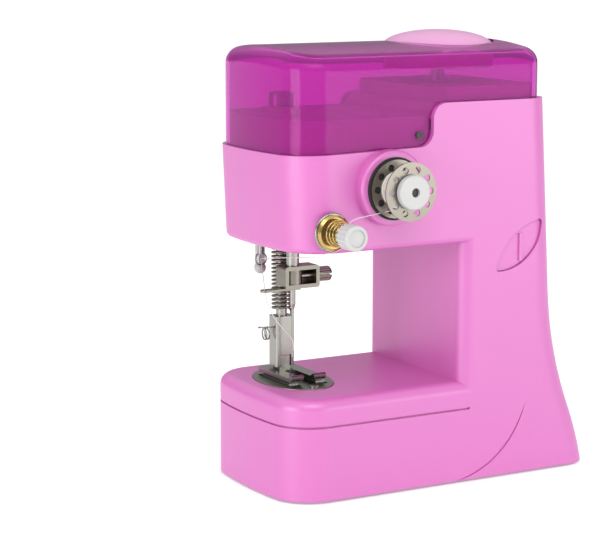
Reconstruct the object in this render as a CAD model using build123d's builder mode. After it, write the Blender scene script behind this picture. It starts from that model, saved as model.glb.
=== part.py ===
from build123d import *
import os
from math import cos, hypot, pi, radians, sin, sqrt

# Body of the machine, in millimetres
body_width = 129.4
body_depth = 65.4
foot_height = 1.0
bed_height = 36.2
throat_height = 50.7
head_height = 35.1
throat_reach = 70.6
column_width = 37.9
column_lean = 4.3
flare_height = 66.0
knee_height = 22.0
knee_inset = 6.64
wall = 2.2

# Rounding of the body
end_bow = 3.0
end_corner = 15.0
column_corner = 10.0
throat_edge = 5.0
bed_edge = 4.0
head_edge = 2.0
head_setback = 3.0
head_lean = 2.3

# Stepped seam between the body and its clear cover
seam_step = 15.0
seam_fall = 1.5
seam_round = 5.5
step_back = 13.1
deck_rise = 10.5
deck_step = 9.5

# Clear top cover
cover_inset = 1.8
cover_wall = 1.8
cover_gap = 0.2
cover_height = 32.0
cover_crown = 3.0
cover_edge = 6.0
cover_screw_back = 4.9
cover_screw_rise = 4.0
cover_screw_radius = 0.8
cover_screw_head = 1.4
cover_screw_cap = 0.6

# Line pressed round the bed, and the crease at the foot of the column
groove_drop = 10.2
groove_size = 0.8
groove_run = 3.6
crease_left = 1.8
crease_width = 30.0
crease_height = 26.5
crease_sag = 6.0
crease_open = 0.9
crease_depth = 0.5

# Base, feet and battery bay
base_thick = 2.6
door_thick = 1.4
door_lip = 1.0
door_gap = 0.25
grip_lines = 5
grip_pitch = 2.0
grip_width = 0.8
grip_half = 8.0
grip_inset = 6.0
bay_wall = 1.2
cell_radius = 7.0
cell_length = 50.5
cell_gap = 0.3
cell_nub = 1.2
cell_nub_radius = 2.7
contact_thick = 0.8
contact_half = 4.2
bay_inset = 19.0
pad_radius = 4.5
pad_sink = 0.8
pad_inset_left = 10.5
pad_inset_right = 13.0
pad_spread_left = 16.0
pad_spread_right = 19.0

# Needle bar, needle and presser bar
needle_inset = 20.4
needle_back = 1.8
bar_pitch = 8.4
needle_bar_radius = 2.35
needle_bar_low = 33.8
needle_bar_length = 56.5
needle_radius = 0.45
shank_radius = 1.0
needle_reach = 28.5
needle_eye_rise = 5.0
needle_point = 3.0
shank_drop = 6.0
shank_taper = 2.0
presser_bar_radius = 2.0
stroke_up = 3.0
stroke_down = 9.0
clamp_length = 14.0
clamp_depth = 7.0
clamp_height = 8.0
clamp_wall = 1.4
clamp_hub_wall = 1.0
clamp_round = 1.0
clamp_offset = 2.2
clamp_screw_radius = 2.7
clamp_screw_length = 5.6
clamp_rod_radius = 1.1
knurl_lines = 20
knurl_radius = 0.3
knurl_rim = 0.8
screw_slot = 0.8
screw_slot_depth = 1.2
guide_half = 6.0
guide_reach = 13.0
guide_width = 3.4
guide_thick = 0.8

# Presser foot, its holder and its lifter
foot_clear = 1.4
foot_width = 14.0
foot_front = 12.0
foot_rear = 14.5
foot_thick = 1.5
foot_curl = 2.2
foot_slot = 4.2
foot_boss_width = 4.4
foot_boss_length = 5.0
foot_boss_height = 6.4
foot_pin_radius = 0.9
holder_width = 7.6
holder_depth = 6.4
holder_height = 18.5
holder_bore = 9.0
holder_round = 1.2
foot_swing = 0.9
foot_side_gap = 0.15
foot_corner = 2.0
presser_lift = 4.0
spring_radius = 3.3
spring_wire = 0.8
spring_pitch = 1.5
hook_radius = 2.2
hook_wire = 0.6
hook_turns = 2
hook_length = 5.4
post_radius = 4.0
post_height = 5.0
deck_ring_radius = 6.6
deck_ring_height = 1.8
lifter_back = 20.2
lifter_thick = 3.0
lifter_inset = 17.8
lifter_turn = 55.0
lobe_radius = 1.5
bracket_height = 3.0
bracket_wall = 1.8
lifter_drop = 15.4
ball_radius = 2.2
lifter_pin_radius = 1.4
lifter_pin_head = 0.8
lifter_hub = 2.2
lifter_rise = 0.8
lifter_slot_left = 4.5
lifter_slot_right = 12.5
lifter_arm = 2.4

# Needle plate and feed dog
plate_half_width = 13.0
plate_half_length = 19.3
plate_thick = 1.2
plate_proud = 0.3
plate_screw_inset = 3.6
plate_screw_radius = 1.0
plate_screw_head = 1.7
plate_screw_cap = 0.5
needle_hole = 1.3
feed_pitch = 5.4
feed_width = 3.6
feed_length = 21.0
feed_rise = 0.9
feed_slot_gap = 0.5
feed_travel = 1.5
feed_teeth = 14
feed_base = 2.0
feed_drop = 0.8
feed_hole = 2.4
feed_arm = 5.0
feed_arm_back = 6.5
tooth_depth = 0.7

# Drive: upright shaft, arm shaft, lower shaft and motor
shaft_inset = 10.5
shaft_radius = 2.5
shaft_clear = 1.0
arm_shaft_radius = 2.0
arm_shaft_rise = 19.2
low_shaft_drop = 10.2
crank_radius = 6.0
crank_disc_radius = 8.5
crank_disc_thick = 3.0
crank_pin_radius = 1.2
yoke_thick = 2.0
yoke_half_height = 3.0
yoke_rim = 2.2
yoke_hub_radius = 4.0
link_gap = 0.4
mitre_module = 1.0
mitre_teeth = 16
mitre_face = 3.5
low_mitre_teeth = 12
low_mitre_face = 2.5
spur_module = 0.8
drive_teeth = 42
pinion_teeth = 10
gear_width = 4.0
web_radius = 9.5
web_holes = 6
web_hole_radius = 2.6
pinion_width = 6.0
gear_rise = 28.8
motor_angle = 40.0
motor_radius = 10.0
motor_length = 27.0
motor_shaft_radius = 1.0
motor_shaft_sink = 5.5
motor_cap_radius = 3.0
motor_cap = 1.0
motor_edge = 1.0
bearing_thick = 2.5
bush_wall = 1.2
bush_flange = 0.8
bush_rim = 0.65
bush_proud = 0.4
looper_radius = 4.6
looper_thick = 3.0
looper_offset = 4.5
looper_finger = 0.8
needle_clear = 1.0
bearing_rise = 10.0
arm_bearing_back = 15.0
bed_bearing_back = 6.0
bed_bearing_offset = 16.0
yoke_clear = 0.5
pin_reach = 1.5
disc_clear = 2.0
cap_rise = 3.0
bearing_clear = 5.0
shelf_clear = 0.5

# Hand wheel under the crown of the cover
wheel_radius = 20.0
wheel_dome = 5.7
wheel_skirt = 7.7
wheel_wall = 2.0
wheel_hub = 5.0
wheel_gap = 0.6
wheel_lift = 5.3
round_share = 0.5523

# Bobbin on the front of the arm
bobbin_inset = 39.3
bobbin_rise = 21.8
bobbin_radius = 10.15
bobbin_width = 9.8
bobbin_hub = 4.0
bobbin_bore = 3.0
bobbin_flange = 0.5
bobbin_holes = 10
bobbin_hole_radius = 1.2
bobbin_hole_ring = 7.7
boss_radius = 13.2
boss_height = 3.9
boss_edge = 1.2
felt_thick = 0.6
felt_radius = 10.9
spindle_radius = 2.8
spindle_collar = 1.0
spindle_collar_thick = 1.2
cap_radius = 6.0
cap_thick = 2.6
cap_hole = 1.6
cap_edge = 0.8
cap_depth = 1.56
thread_radius = 6.4
thread_wire = 0.3
thread_pitch = 0.8

# Thread tension on the front of the head
tension_inset = 15.8
tension_rise = 7.9
tension_pad_radius = 5.2
tension_pad_height = 1.2
stud_radius = 1.6
stud_collar = 1.8
stud_collar_thick = 1.0
disc_radius = 6.8
disc_thick = 0.7
dish_depth = 1.4
dish_step = 0.6
cone_wide = 4.8
cone_narrow = 2.6
cone_wire = 0.6
cone_turns = 4
cone_length = 8.0
knob_radius = 4.4
knob_length = 6.6
knob_ribs = 16
knob_face_radius = 3.1
knob_face_depth = 0.6
knob_cap = 2.0
knob_edge = 0.8
knob_groove = 0.5

# Power button and its switch
button_inset = 24.2
button_rise = 48.3
button_length = 27.4
button_tilt = 40.6
button_bulge_up = 4.2
button_bulge_down = 6.0
button_round = 1.6
button_sink = 0.9
button_thick = 2.0
button_gap = 0.25
button_travel = 1.2
ridge_width = 1.2
ridge_height = 10.0
ridge_proud = 0.7
stem_radius = 1.4
stem_length = 3.5
ridge_offset = 0.8
ridge_drop = 1.0
switch_width = 8.0
switch_depth = 7.0
switch_height = 4.4

# Thread guide under the head
eye_back = 16.0
eye_inset = 15.1
eye_pin_radius = 1.2
eye_pin_length = 6.2
eye_radius = 2.2
eye_wire = 0.6

# Screws that hold the shells together
screw_radius = 1.3
screw_head_radius = 2.6
screw_head_height = 1.8
screw_seat = 9.0
screw_boss_radius = 4.4
screw_reach = 8.0
screw_bore_reach = 10.0
head_screw_inset = 4.8
head_screw_rise = 25.1
column_screw_inset = 5.0
column_screw_drop = 8.0
waist_screw_rise = 22.0
bed_screw_inset = 8.0
bed_screw_drop = 9.5
foot_screw_inset = 13.0
foot_screw_gap = 2.0

# Fits
run_gap = 0.05
fit_gap = 0.1
part_gap = 0.3

# Places that follow from the sizes above
half = body_depth / 2
knob_stack = tension_pad_height + disc_thick + dish_depth + cone_length + part_gap + knob_length
mid_y = knob_stack / 2
front_y = mid_y - half
rear_y = mid_y + half
bed_left = -body_width / 2
foot_right = body_width / 2
column_in = bed_left + throat_reach
column_right = column_in + column_width
column_mid = column_in + column_width / 2
base_z = foot_height
bed_top = base_z + bed_height
arm_bottom = bed_top + throat_height
seam_low = arm_bottom + head_height
seam_high = seam_low + seam_step
step_x = column_in - step_back
deck_low = seam_low + deck_rise
deck_high = deck_low + deck_step
cover_top = seam_low + cover_height
rim = cover_inset + cover_wall + cover_gap
head_left_low = bed_left + head_setback
head_left_top = head_left_low - head_lean
needle_x = bed_left + needle_inset
needle_y = mid_y + needle_back
press_y = needle_y + bar_pitch
shaft_x = column_in + shaft_inset
shaft_y = needle_y
arm_z = arm_bottom + arm_shaft_rise
low_z = bed_top - low_shaft_drop
gear_z = arm_bottom + gear_rise
bobbin_x = bed_left + bobbin_inset
bobbin_z = arm_bottom + bobbin_rise
tension_x = bed_left + tension_inset
tension_z = arm_bottom + tension_rise
button_x = column_in + button_inset
button_z = bed_top + button_rise
across = Plane.XZ.offset(-rear_y)
inner_front = front_y + wall
inner_rear = rear_y - wall
arm_floor = arm_bottom + wall
bed_roof = bed_top - wall

os.makedirs("parts", exist_ok=True)


# Shared forms


def plan(left, right, margin, level, left_round, right_round=0.0):
    """Plan with a bowed left end, drawn at one height and drawn in by a margin."""
    reach = half - margin
    with BuildSketch(Plane.XY.offset(level)) as sketch:
        with BuildLine():
            Polyline(
                (left + end_bow, mid_y - reach),
                (right, mid_y - reach),
                (right, mid_y + reach),
                (left + end_bow, mid_y + reach),
            )
            ThreePointArc(
                (left + end_bow, mid_y + reach), (left, mid_y), (left + end_bow, mid_y - reach)
            )
        make_face()
        fillet(sketch.vertices().group_by(Axis.X)[0], left_round)
        if right_round > 0:
            fillet(sketch.vertices().group_by(Axis.X)[-1], right_round)
    return sketch.sketch


def bed_form(margin):
    """Bed drawn in by a margin, open below where it is hollow."""
    low = base_z if margin == 0 else base_z - wall
    with BuildPart() as form:
        extrude(
            plan(bed_left + margin, column_mid, margin, low, end_corner - margin),
            amount=bed_top - margin - low,
        )
    return form.part


def column_form(margin):
    """Column with its leaning side and flared foot, drawn in by a margin."""
    low = base_z if margin == 0 else base_z - wall
    top = seam_high + wall
    left = column_in + margin
    with BuildPart() as form:
        with BuildSketch(across.offset(margin)):
            with BuildLine():
                side = Line(
                    (column_right - margin, top),
                    (column_right + column_lean - margin, base_z + flare_height),
                )
                bend = TangentArc(
                    side @ 1,
                    (foot_right - knee_inset - margin, base_z + knee_height),
                    tangent=side % 1,
                )
                toe = TangentArc(bend @ 1, (foot_right - margin, low), tangent=bend % 1)
                Polyline(toe @ 1, (left, low), (left, top), side @ 0)
            make_face()
        extrude(amount=body_depth - 2 * margin)
        ends = form.faces().sort_by(Axis.Y)
        front = ends[0].edges().filter_by(Axis.X, reverse=True).sort_by(Axis.X)
        rear = ends[-1].edges().filter_by(Axis.X, reverse=True).sort_by(Axis.X)
        throat = [front[0], rear[0]]
        fillet(front[1:] + rear[1:], column_corner - margin)
        fillet(throat, throat_edge - margin)
    return form.part


def head_form(margin):
    """Arm and head, whose end leans out towards the top, drawn in by a margin."""
    low = arm_bottom + margin
    with BuildPart() as form:
        loft(
            [
                plan(head_left_low + margin, column_mid, margin, low, end_corner - margin),
                plan(head_left_top + margin, column_mid, margin, seam_high, end_corner - margin),
            ]
        )
    return form.part


def above_seam(shift):
    """Everything over the stepped seam, with the seam moved into the body by a shift."""
    far = 2 * body_width
    corner_x = step_x + shift
    with BuildPart() as zone:
        with BuildSketch(Plane.XZ.offset(-rear_y - wall)) as sketch:
            with BuildLine():
                Polyline(
                    (bed_left - wall, seam_low - seam_fall - shift),
                    (corner_x, seam_low - shift),
                    (corner_x, seam_high - shift),
                    (foot_right, seam_high - shift),
                    (foot_right, far),
                    (bed_left - wall, far),
                    close=True,
                )
            make_face()
            bends = sketch.vertices().filter_by_position(Axis.X, corner_x - 0.01, corner_x + 0.01)
            fillet(bends, seam_round)
        extrude(amount=body_depth + 2 * wall)
    return zone.part


def plinth_left(margin, low, top):
    """Low deck inside the cover, over the needle and presser bars."""
    with BuildPart() as form:
        extrude(
            plan(head_left_top + rim + margin, column_in, rim + margin, low, end_corner - rim - margin),
            amount=top - low,
        )
    return form.part


def plinth_right(margin, low, top):
    """High deck inside the cover, under the hand wheel."""
    left = step_x + rim + margin
    right = column_right - rim - margin
    with BuildPart() as form:
        with BuildSketch(Plane.XY.offset(low)):
            with Locations(((left + right) / 2, mid_y)):
                RectangleRounded(
                    right - left, body_depth - 2 * (rim + margin), column_corner - rim - margin
                )
        extrude(amount=top - low)
    return form.part


def cover_form(margin):
    """Crowned, round-edged cover drawn in by a margin."""
    inset = cover_inset + margin
    reach = half - cover_inset
    crown_radius = (reach**2 + cover_crown**2) / (2 * cover_crown)
    low = seam_low - seam_fall - wall
    with BuildPart() as form:
        extrude(
            plan(
                head_left_top + inset,
                column_right - inset,
                inset,
                low,
                end_corner - inset,
                column_corner - inset,
            ),
            amount=cover_top + cover_crown + wall - low,
        )
        middle = Location((0, mid_y, cover_top + cover_crown - crown_radius), (0, 90, 0))
        with Locations(middle):
            Cylinder(crown_radius - margin, 2 * body_width, mode=Mode.INTERSECT)
        fillet(form.faces().sort_by(Axis.Z)[-1].edges(), cover_edge - margin)
    return form.part


def lens_form(grow):
    """Leaf-shaped prism of the power button, running front to back."""
    reach = button_length / 2 + grow
    ends = [(-reach, 0), (reach, 0)]
    lean = radians(button_tilt)
    face = Plane((button_x, front_y - wall, button_z), x_dir=(cos(lean), 0, sin(lean)), z_dir=(0, 1, 0))
    with BuildPart() as form:
        with BuildSketch(face) as sketch:
            with BuildLine():
                ThreePointArc(ends[0], (0, button_bulge_down + grow), ends[1])
                ThreePointArc(ends[1], (0, -button_bulge_up - grow), ends[0])
            make_face()
            fillet(sketch.vertices(), button_round)
        extrude(amount=column_corner)
    return form.part


def ring_y(x, y, z, outer, inner, length):
    """Ring or, with no inner radius, a rod that runs back from y along Y."""
    with BuildPart() as form:
        with BuildSketch(Plane(origin=(x, y, z), x_dir=(1, 0, 0), z_dir=(0, 1, 0))):
            Circle(outer)
            if inner > 0:
                Circle(inner, mode=Mode.SUBTRACT)
        extrude(amount=length)
    return form.part


def ring_x(x, y, z, outer, inner, length):
    """Ring or, with no inner radius, a rod that runs right from x along X."""
    with BuildPart() as form:
        with BuildSketch(Plane(origin=(x, y, z), x_dir=(0, 1, 0), z_dir=(1, 0, 0))):
            Circle(outer)
            if inner > 0:
                Circle(inner, mode=Mode.SUBTRACT)
        extrude(amount=length)
    return form.part


def ring_z(x, y, z, outer, inner, length):
    """Ring or, with no inner radius, a rod that runs up from z along Z."""
    with BuildPart() as form:
        with BuildSketch(Plane(origin=(x, y, z))):
            Circle(outer)
            if inner > 0:
                Circle(inner, mode=Mode.SUBTRACT)
        extrude(amount=length)
    return form.part


def block(x_from, x_to, y_from, y_to, z_from, z_to):
    """Plain box between two corners."""
    with BuildPart() as form:
        with Locations(((x_from + x_to) / 2, (y_from + y_to) / 2, (z_from + z_to) / 2)):
            Box(x_to - x_from, y_to - y_from, z_to - z_from)
    return form.part


def spur_gear(plane, teeth, width, bore, turn):
    """Straight-toothed wheel with thin teeth, one of them turned to an angle."""
    root = spur_module * (teeth / 2 - 1.15)
    tip = spur_module * (teeth / 2 + 0.85)
    foot = 0.7 * spur_module
    crest = 0.3 * spur_module
    with BuildPart() as gear:
        with BuildSketch(plane):
            Circle(root)
            with PolarLocations(0, teeth, start_angle=turn):
                Polygon(
                    (root - crest, -foot), (tip, -crest), (tip, crest), (root - crest, foot), align=None
                )
            Circle(bore, mode=Mode.SUBTRACT)
        extrude(amount=width)
    return gear.part


def mitre_gear(plane, teeth, face, bore, turn):
    """Bevel wheel at 45 degrees that narrows along the plane's normal."""
    pitch_radius = mitre_module * teeth / 2
    tip = pitch_radius + 0.45 * mitre_module
    root = pitch_radius - 0.75 * mitre_module
    share = 0.3 * pi / teeth
    with BuildPart() as gear:
        with BuildSketch(plane):
            with PolarLocations(0, teeth, start_angle=turn):
                Polygon(
                    (0, 0), (tip, -tip * share), (tip, tip * share), align=None
                )
        extrude(amount=face)
        with Locations(plane):
            Cone(tip, tip - face, face, align=(Align.CENTER, Align.CENTER, Align.MIN), mode=Mode.INTERSECT)
            Cone(root, root - face, face, align=(Align.CENTER, Align.CENTER, Align.MIN))
            Cylinder(
                bore, face, align=(Align.CENTER, Align.CENTER, Align.MIN), mode=Mode.SUBTRACT
            )
    return gear.part


def coil(name, plane, wide, narrow, length, turns, wire):
    """Wire wound round a plane's normal on half-turn biarcs, with a straight tang at each end."""
    lead = wire * 1.5
    tang = 1.25 * wire
    rise = length - 2 * (lead + tang)
    half_turns = 2 * turns
    slope = rise / (2 * pi * turns)

    def point(step):
        share = step / half_turns
        radius = wide + (narrow - wide) * share
        return Vector(radius * cos(pi * step), radius * sin(pi * step), lead + tang + rise * share)

    def heading(step):
        share = step / half_turns
        radius = wide + (narrow - wide) * share
        shrink = (narrow - wide) / (2 * pi * turns)
        return Vector(
            shrink * cos(pi * step) - radius * sin(pi * step),
            shrink * sin(pi * step) + radius * cos(pi * step),
            slope,
        ).normalized()

    up = Vector(0, 0, 1)
    with BuildPart() as spring:
        with BuildLine() as path:
            first, last = heading(0), heading(half_turns)
            start = point(0) - first * lead - up * lead
            Line((start.X, start.Y, 0), start)
            TangentArc(start, point(0), tangent=up)
            for step in range(half_turns):
                here, there = point(step), point(step + 1)
                out, into = heading(step), heading(step + 1)
                span = there - here
                both = out + into
                bend = 2 * (1 - out.dot(into))
                reach = (sqrt(span.dot(both) ** 2 + bend * span.dot(span)) - span.dot(both)) / bend
                joint = (here + there + (out - into) * reach) * 0.5
                middle = (there - into * reach) - (here + out * reach)
                TangentArc(here, joint, tangent=out)
                TangentArc(joint, there, tangent=middle.normalized())
            end = point(half_turns)
            finish = end + last * lead + up * lead
            TangentArc(end, finish, tangent=last)
            Line(finish, (finish.X, finish.Y, length))
        line = path.wires()[0]
        with BuildSketch(Plane(line @ 0, z_dir=line % 0)):
            Circle(wire / 2)
        sweep()
    steps = 40 * turns
    spots = [line @ (count / steps) for count in range(steps + 1)]
    near = [
        (spots[low] - spots[high]).length
        for low in range(steps)
        for high in range(low + 16, steps + 1)
    ]
    print(f"{name}: least gap of the wire to itself {min(near) - wire:.2f} mm")
    return spring.part.moved(plane.location)


# Body: outer form, hollow, and the bosses inside it

with BuildPart() as bed:
    add(bed_form(0))
    fillet(bed.faces().sort_by(Axis.Z)[-1].edges().sort_by(Axis.X)[:-1], bed_edge)

with BuildPart() as head:
    add(head_form(0))
    fillet(head.faces().sort_by(Axis.Z)[0].edges().sort_by(Axis.X)[:-1], head_edge)

with BuildPart() as outer:
    add(bed.part)
    add(column_form(0))
    add(head.part)
    add(above_seam(0), mode=Mode.SUBTRACT)

with BuildPart() as hollow:
    add(bed_form(wall))
    add(column_form(wall))
    add(head_form(wall))
    add(above_seam(wall), mode=Mode.SUBTRACT)
    add(plinth_left(wall, arm_z, deck_low - wall))
    add(plinth_right(wall, gear_z, deck_high - wall))

screw_spots = [
    (head_left_low + head_screw_inset, arm_bottom + head_screw_rise),
    (column_right - column_screw_inset, seam_high - column_screw_drop),
    (column_right - column_screw_inset, bed_top + waist_screw_rise),
    (bed_left + bed_screw_inset, bed_top - bed_screw_drop),
    (foot_right - foot_screw_inset, base_z + base_thick + screw_boss_radius + foot_screw_gap),
]
screw_seat_y = rear_y - screw_seat
with BuildPart() as bosses:
    for spot_x, spot_z in screw_spots:
        add(ring_y(spot_x, front_y, spot_z, screw_boss_radius, 0, body_depth))
    add(outer.part, mode=Mode.INTERSECT)

# Places of the fittings that the body carries
lifter_x = bed_left + lifter_inset
lifter_y = mid_y + lifter_back
lifter_z = arm_floor + lifter_rise
lobe_swing = radians(lifter_turn / 2)
lobe_reach = presser_lift / (2 * sin(lobe_swing))
plate_z = bed_top + plate_proud - plate_thick
needle_bush = needle_bar_radius + run_gap + bush_wall
press_bush = presser_bar_radius + run_gap + bush_wall
felt_y = front_y - boss_height
tension_y = front_y - tension_pad_height
cover_screw_x = step_x - cover_screw_back
cover_screw_z = seam_low + cover_screw_rise
eye_x = bed_left + eye_inset
eye_y = mid_y + eye_back
plate_screw_y = plate_half_length - plate_screw_inset

with BuildPart() as body:
    add(outer.part)
    add(plinth_left(0, seam_low - seam_fall - wall, deck_low))
    add(plinth_right(0, seam_high - wall, deck_high))
    add(hollow.part, mode=Mode.SUBTRACT)
    add(bosses.part)
    # Round boss behind the bobbin and pad behind the tension discs
    with BuildSketch(Plane.XZ.offset(-front_y - cover_inset / 2)):
        with Locations((bobbin_x, bobbin_z)):
            Circle(boss_radius)
    extrude(amount=cover_inset / 2 + boss_height)
    fillet(body.faces().sort_by(Axis.Y)[0].edges(), boss_edge)
    with BuildSketch(Plane.XZ.offset(-inner_front - wall)):
        with Locations((tension_x, tension_z)):
            Circle(tension_pad_radius)
    extrude(amount=2 * wall + tension_pad_height)
    # Boss for the pin of the presser lifter
    add(
        ring_y(
            lifter_x,
            lifter_y + lifter_thick + part_gap,
            lifter_z,
            2.4 * lifter_pin_radius,
            0,
            inner_rear - lifter_y - lifter_thick - part_gap,
        )
    )
    # Holes for the spindle, the tension stud and the cover screws
    add(
        ring_y(bobbin_x, felt_y - wall, bobbin_z, spindle_radius + run_gap, 0, 4 * wall),
        mode=Mode.SUBTRACT,
    )
    add(
        ring_y(tension_x, tension_y - wall, tension_z, stud_radius + run_gap, 0, 6 * wall),
        mode=Mode.SUBTRACT,
    )
    add(
        ring_y(cover_screw_x, front_y, cover_screw_z, cover_screw_radius + run_gap, 0, body_depth),
        mode=Mode.SUBTRACT,
    )
    # Hole of the power button
    add(lens_form(button_gap), mode=Mode.SUBTRACT)
    # Bars and shaft through the floor of the head and the decks
    add(
        ring_z(needle_x, needle_y, arm_bottom - wall, needle_bush, 0, 3 * wall), mode=Mode.SUBTRACT
    )
    add(
        ring_z(needle_x, press_y, arm_bottom - wall, press_bush, 0, 3 * wall), mode=Mode.SUBTRACT
    )
    add(
        ring_z(needle_x, press_y, deck_low - 2 * wall, press_bush, 0, 3 * wall), mode=Mode.SUBTRACT
    )
    add(
        ring_z(shaft_x, shaft_y, deck_high - 2 * wall, shaft_radius + shaft_clear, 0, 3 * wall),
        mode=Mode.SUBTRACT,
    )
    # Slot that the presser lifter swings in
    add(
        block(
            lifter_x - lifter_slot_left,
            lifter_x + lifter_slot_right,
            lifter_y - lifter_pin_head - 2 * part_gap,
            lifter_y + lifter_thick + part_gap,
            arm_bottom - wall,
            arm_floor + 0.01,
        ),
        mode=Mode.SUBTRACT,
    )
    add(
        ring_y(lifter_x, lifter_y, lifter_z, lifter_pin_radius + run_gap, 0, inner_rear + wall / 2 - lifter_y),
        mode=Mode.SUBTRACT,
    )
    add(
        ring_z(eye_x, eye_y, arm_bottom - wall, eye_pin_radius + run_gap, 0, 3 * wall),
        mode=Mode.SUBTRACT,
    )
    # Seat of the needle plate and the opening under it
    with BuildSketch(Plane.XY.offset(plate_z)):
        with Locations((needle_x, needle_y)):
            Ellipse(plate_half_width + fit_gap, plate_half_length + fit_gap)
    extrude(amount=2 * wall, mode=Mode.SUBTRACT)
    with BuildSketch(Plane.XY.offset(bed_roof - wall)):
        with Locations((needle_x, needle_y)):
            Rectangle(2 * feed_pitch + feed_width + 3, feed_length + 2 * feed_travel + 3)
            with Locations((0, plate_screw_y), (0, -plate_screw_y)):
                Circle(plate_screw_radius + run_gap)
    extrude(amount=3 * wall, mode=Mode.SUBTRACT)
    # Line pressed round the bed
    groove_z = bed_top - groove_drop
    with BuildSketch(Plane.XY.offset(groove_z)) as ring:
        add(plan(bed_left - wall, column_in + groove_run, -wall, groove_z, end_corner + wall))
        add(
            plan(
                bed_left + groove_size,
                column_mid,
                groove_size,
                groove_z,
                end_corner - groove_size,
            ),
            mode=Mode.SUBTRACT,
        )
    extrude(amount=groove_size, mode=Mode.SUBTRACT)
    # Crease that sweeps up from the foot of the column
    crease_x = column_in - crease_left
    chord = hypot(crease_width, crease_height)
    across_x = crease_height / chord
    across_z = -crease_width / chord
    crease_middle = (crease_x + crease_width / 2, base_z + crease_height / 2)
    with BuildSketch(Plane.XZ.offset(crease_depth - front_y)):
        with BuildLine():
            for sag in (crease_sag - crease_open / 2, crease_sag + crease_open / 2):
                ThreePointArc(
                    (crease_x, base_z),
                    (crease_middle[0] + across_x * sag, crease_middle[1] + across_z * sag),
                    (crease_x + crease_width, base_z + crease_height),
                )
        make_face()
    extrude(amount=-2 * crease_depth, mode=Mode.SUBTRACT)
    # Screw holes from the rear
    for spot_x, spot_z in screw_spots:
        add(
            ring_y(spot_x, screw_seat_y, spot_z, screw_head_radius + fit_gap, 0, screw_seat + wall),
            mode=Mode.SUBTRACT,
        )
        add(
            ring_y(
                spot_x,
                mid_y - screw_bore_reach,
                spot_z,
                screw_radius + run_gap,
                0,
                screw_seat_y - mid_y + screw_bore_reach,
            ),
            mode=Mode.SUBTRACT,
        )

parting = Plane.XZ.offset(-mid_y)
with BuildPart() as front_shell:
    add(body.part)
    split(bisect_by=parting, keep=Keep.TOP)
front_shell.part.label = "front_shell"
export_step(front_shell.part, "parts/front_shell.step")

with BuildPart() as rear_shell:
    add(body.part)
    split(bisect_by=parting, keep=Keep.BOTTOM)
rear_shell.part.label = "rear_shell"
export_step(rear_shell.part, "parts/rear_shell.step")


# Clear cover over the top, held by a screw at the front and at the rear

wheel_base = deck_high + wheel_lift
wheel_top = wheel_base + wheel_skirt + wheel_dome
with BuildPart() as top_cover:
    add(cover_form(0))
    add(cover_form(cover_wall), mode=Mode.SUBTRACT)
    add(above_seam(0), mode=Mode.INTERSECT)
    add(
        ring_z(shaft_x, shaft_y, cover_top - wall, wheel_radius + wheel_gap, 0, cover_crown + 3 * wall),
        mode=Mode.SUBTRACT,
    )
    add(
        ring_y(cover_screw_x, front_y, cover_screw_z, cover_screw_radius + run_gap, 0, body_depth),
        mode=Mode.SUBTRACT,
    )
top_cover.part.label = "top_cover"
export_step(top_cover.part, "parts/top_cover.step")

with BuildPart() as cover_screws:
    for side in (-1, 1):
        face_y = mid_y + side * (half - cover_inset)
        head_y = face_y if side > 0 else face_y - cover_screw_cap
        shank_y = face_y - rim if side > 0 else face_y
        add(ring_y(cover_screw_x, head_y, cover_screw_z, cover_screw_head, 0, cover_screw_cap))
        add(ring_y(cover_screw_x, shank_y, cover_screw_z, cover_screw_radius, 0, rim))
cover_screws.part.label = "cover_screws"
export_step(cover_screws.part, "parts/cover_screws.step")

with BuildPart() as shell_screws:
    for spot_x, spot_z in screw_spots:
        add(ring_y(spot_x, screw_seat_y, spot_z, screw_head_radius, 0, screw_head_height))
        shank = screw_seat_y - mid_y + screw_reach
        add(ring_y(spot_x, mid_y - screw_reach, spot_z, screw_radius, 0, shank))
        add(
            block(
                spot_x - screw_head_radius * 0.7,
                spot_x + screw_head_radius * 0.7,
                screw_seat_y + screw_head_height / 2,
                screw_seat_y + screw_head_height,
                spot_z - 0.15 * screw_head_radius,
                spot_z + 0.15 * screw_head_radius,
            ),
            mode=Mode.SUBTRACT,
        )
shell_screws.part.label = "shell_screws"
export_step(shell_screws.part, "parts/shell_screws.step")


# Base plate with the battery bay, its cells, contacts and door, and the feet

cell_pitch = 2 * cell_radius + fit_gap
cell_count = int((body_depth - 2 * (wall + bay_wall + run_gap)) / cell_pitch)
bay_half = cell_count / 2 * cell_pitch
bay_left = bed_left + bay_inset
bay_right = bay_left + cell_length + 2 * contact_thick
cell_z = base_z + door_thick + cell_gap + cell_radius
bay_roof = cell_z + cell_radius + cell_gap
pad_spots = [
    (bed_left + pad_inset_left, mid_y - pad_spread_left),
    (bed_left + pad_inset_left, mid_y + pad_spread_left),
    (foot_right - pad_inset_right, mid_y - pad_spread_right),
    (foot_right - pad_inset_right, mid_y + pad_spread_right),
]
with BuildPart() as base_plate:
    add(bed_form(wall + run_gap))
    add(column_form(wall + run_gap))
    add(
        block(-body_width, body_width, -body_depth, 2 * body_depth, base_z, base_z + base_thick),
        mode=Mode.INTERSECT,
    )
    add(
        block(
            bay_left - bay_wall,
            bay_right + bay_wall,
            mid_y - bay_half - bay_wall,
            mid_y + bay_half + bay_wall,
            base_z,
            bay_roof + bay_wall,
        )
    )
    add(
        block(bay_left, bay_right, mid_y - bay_half, mid_y + bay_half, base_z, bay_roof),
        mode=Mode.SUBTRACT,
    )
    add(
        block(
            bay_left - door_lip,
            bay_right + door_lip,
            mid_y - bay_half - door_lip,
            mid_y + bay_half + door_lip,
            base_z,
            base_z + door_thick,
        ),
        mode=Mode.SUBTRACT,
    )
    for spot_x, spot_y in pad_spots:
        add(ring_z(spot_x, spot_y, base_z, pad_radius, 0, pad_sink), mode=Mode.SUBTRACT)
base_plate.part.label = "base_plate"
export_step(base_plate.part, "parts/base_plate.step")

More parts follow.
